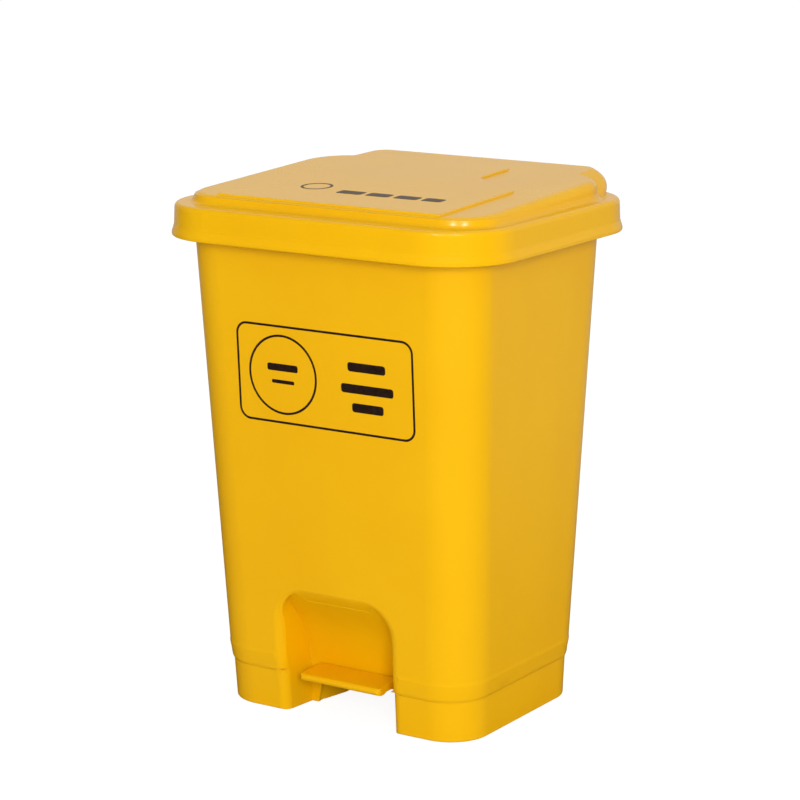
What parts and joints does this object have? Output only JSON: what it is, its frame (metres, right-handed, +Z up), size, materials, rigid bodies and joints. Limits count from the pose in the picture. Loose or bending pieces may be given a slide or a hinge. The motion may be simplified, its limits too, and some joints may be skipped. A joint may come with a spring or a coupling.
{
  "type": "pedal bin",
  "caption": "Tapered yellow plastic pedal bin with a deep-skirted hinged lid, rear hinge hump, shoe recess, foot lever and a rear push rod that lifts the lid.",
  "frame": {"origin": "on the floor, midway across the width and midway between the front of the lid skirt and the back of the hinge hump", "axes": "+Z up, -Y to the front where the pedal is, +X to the right of someone facing the front"},
  "size_m": [0.321, 0.2818, 0.4454],
  "materials": {
    "yellow_shell": "smooth semi-gloss moulded polypropylene",
    "yellow_lid": "smooth semi-gloss moulded polypropylene",
    "yellow_pedal": "smooth moulded polypropylene, slightly scuffed",
    "soft_pad": "matt soft elastomer",
    "steel": "drawn steel",
    "spring_steel": "zinc plated",
    "white_acetal": "natural acetal",
    "black_plastic": "moulded nylon"
  },
  "bodies": {
    "bin": {"outer_body": "yellow_shell", "rear_cover": "yellow_shell", "rear_cover_screws": "spring_steel", "rod_guide_lower": "white_acetal", "rod_guide_upper": "white_acetal", "pedal_axle": "steel", "axle_cap_left": "black_plastic", "axle_cap_right": "black_plastic"},
    "lid": {"lid": "yellow_lid", "lid_buffer_left": "soft_pad", "lid_buffer_right": "soft_pad", "hinge_pin_left": "steel", "hinge_pin_right": "steel", "hinge_pin_clips": "spring_steel", "lift_pin": "steel", "lift_pin_clips": "spring_steel"},
    "lift_rod": {"push_rod": "steel", "rod_head": "white_acetal", "rod_foot": "white_acetal"},
    "pedal": {"pedal_lever": "yellow_pedal", "axle_bush_left": "white_acetal", "axle_bush_right": "white_acetal", "lever_pin": "steel", "lever_pin_clips": "spring_steel"}
  },
  "joints": [
    {"name": "lid_hinge", "type": "hinge", "parent": "bin", "child": "lid", "pos_m": [0, 0.1265, 0.412], "axis": [-1, 0, 0], "range_deg": [0, 72]},
    {"name": "rod_slide", "type": "slide", "parent": "bin", "child": "lift_rod", "axis": [0, 0.0663, 0.9978], "range_m": [0, 0.0259]},
    {"name": "pedal_hinge", "type": "hinge", "parent": "bin", "child": "pedal", "pos_m": [0, -0.02479, 0.028], "axis": [1, 0, 0], "range_deg": [0, 14.05]}
  ],
  "couplings": [
    {"joint": "rod_slide", "follows": "lid_hinge", "m_per_rad": 0.020581},
    {"joint": "pedal_hinge", "follows": "lid_hinge", "ratio": 0.19464}
  ]
}
